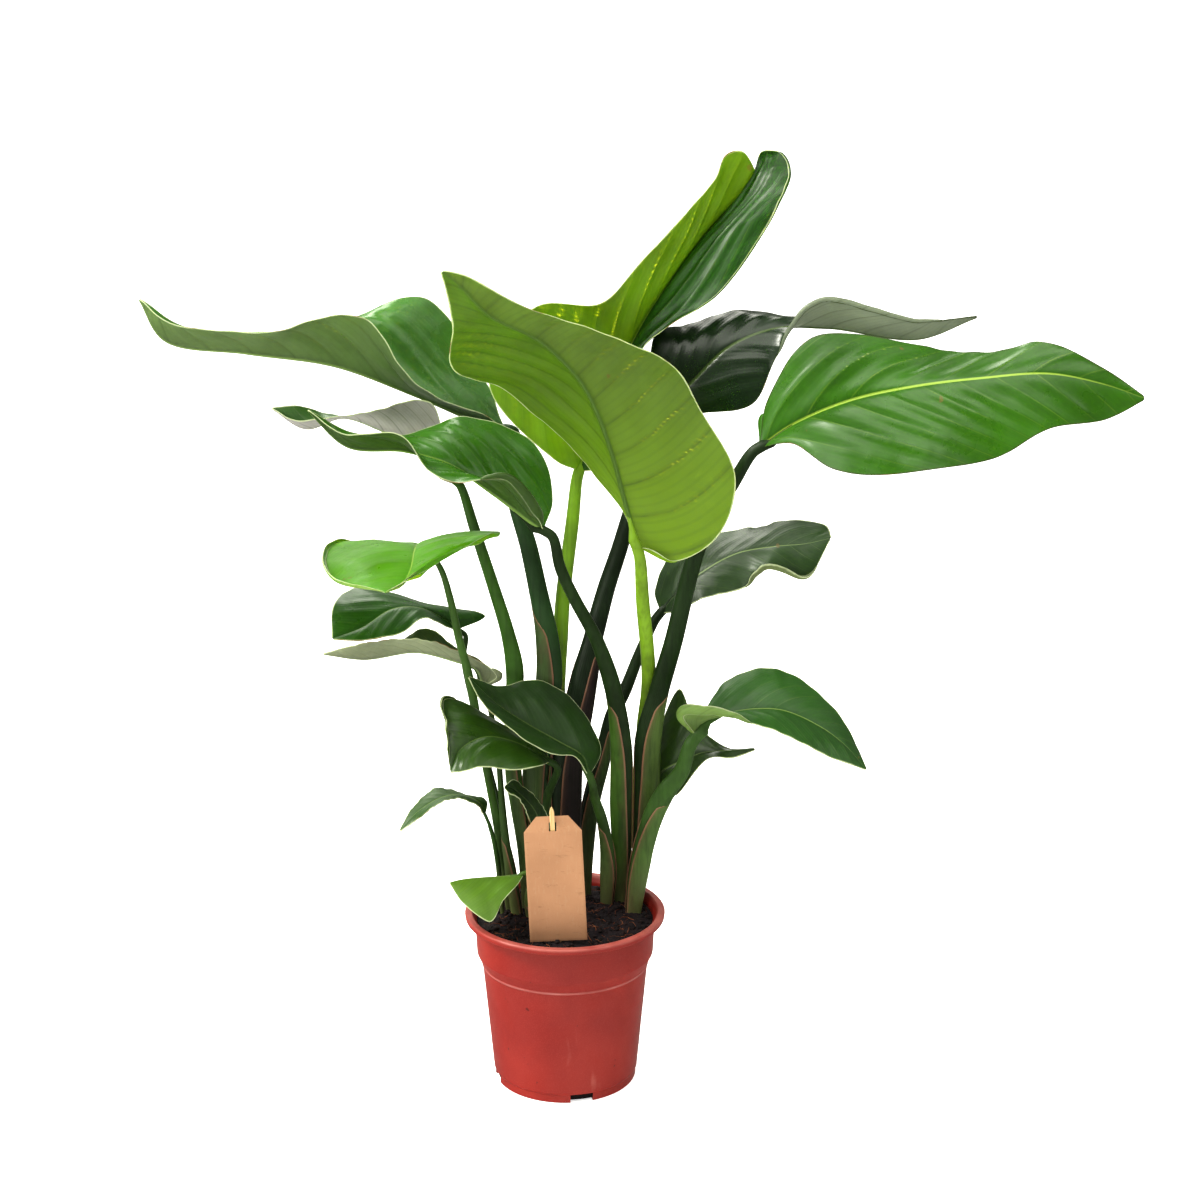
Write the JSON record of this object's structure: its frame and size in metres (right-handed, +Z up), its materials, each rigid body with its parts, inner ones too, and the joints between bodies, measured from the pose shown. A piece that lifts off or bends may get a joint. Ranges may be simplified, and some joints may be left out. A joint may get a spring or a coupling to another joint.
{
  "type": "potted bird of paradise plant",
  "caption": "Potted white bird of paradise: broad paddle leaves on long sheathed stalks in a terracotta-coloured nursery pot of soil, with a blank kraft card on a bamboo stick.",
  "frame": {"origin": "centre of the pot's flat underside, on the surface it stands on", "axes": "+Z up, -Y the front, where the card stands, +X to the right as seen from the front"},
  "size_m": [0.936, 0.301, 0.9174],
  "materials": {
    "pot": "satin terracotta red, moulded",
    "soil": "rough, dark brown potting mix",
    "card": "matt kraft card, blank",
    "stick": "plain split bamboo",
    "blade_bright": "waxy leaf, satin",
    "stalk_bright": "smooth leaf stalk, satin",
    "blade_glossy": "waxy leaf, satin",
    "stalk_glossy": "smooth leaf stalk, satin",
    "blade_mid": "waxy leaf, satin",
    "stalk_mid": "smooth leaf stalk, satin",
    "blade_dark": "waxy leaf, satin",
    "stalk_dark": "smooth leaf stalk, satin",
    "blade_grey": "waxy leaf, satin",
    "stalk_grey": "smooth leaf stalk, satin"
  },
  "bodies": {
    "root": {"pot": "pot", "soil": "soil", "tag_card": "card", "tag_stick": "stick", "leaf_a_blade": "blade_bright", "leaf_a_stalk": "stalk_bright", "leaf_b_blade": "blade_glossy", "leaf_b_stalk": "stalk_glossy", "leaf_c_blade": "blade_glossy", "leaf_c_stalk": "stalk_glossy", "leaf_d_blade": "blade_glossy", "leaf_d_stalk": "stalk_glossy", "leaf_e_blade": "blade_mid", "leaf_e_stalk": "stalk_mid", "leaf_f_blade": "blade_dark", "leaf_f_stalk": "stalk_dark", "leaf_g_blade": "blade_bright", "leaf_g_stalk": "stalk_bright", "leaf_h_blade": "blade_dark", "leaf_h_stalk": "stalk_dark", "leaf_i_blade": "blade_grey", "leaf_i_stalk": "stalk_grey", "leaf_j_blade": "blade_bright", "leaf_j_stalk": "stalk_bright", "leaf_k_blade": "blade_dark", "leaf_k_stalk": "stalk_dark", "leaf_l_blade": "blade_grey", "leaf_l_stalk": "stalk_grey", "leaf_m_blade": "blade_dark", "leaf_m_stalk": "stalk_dark", "leaf_n_blade": "blade_dark", "leaf_n_stalk": "stalk_dark", "leaf_o_blade": "blade_glossy", "leaf_o_stalk": "stalk_glossy", "leaf_p_blade": "blade_glossy", "leaf_p_stalk": "stalk_glossy", "leaf_q_blade": "blade_dark", "leaf_q_stalk": "stalk_dark", "leaf_r_blade": "blade_dark", "leaf_r_stalk": "stalk_dark"}
  },
  "joints": []
}
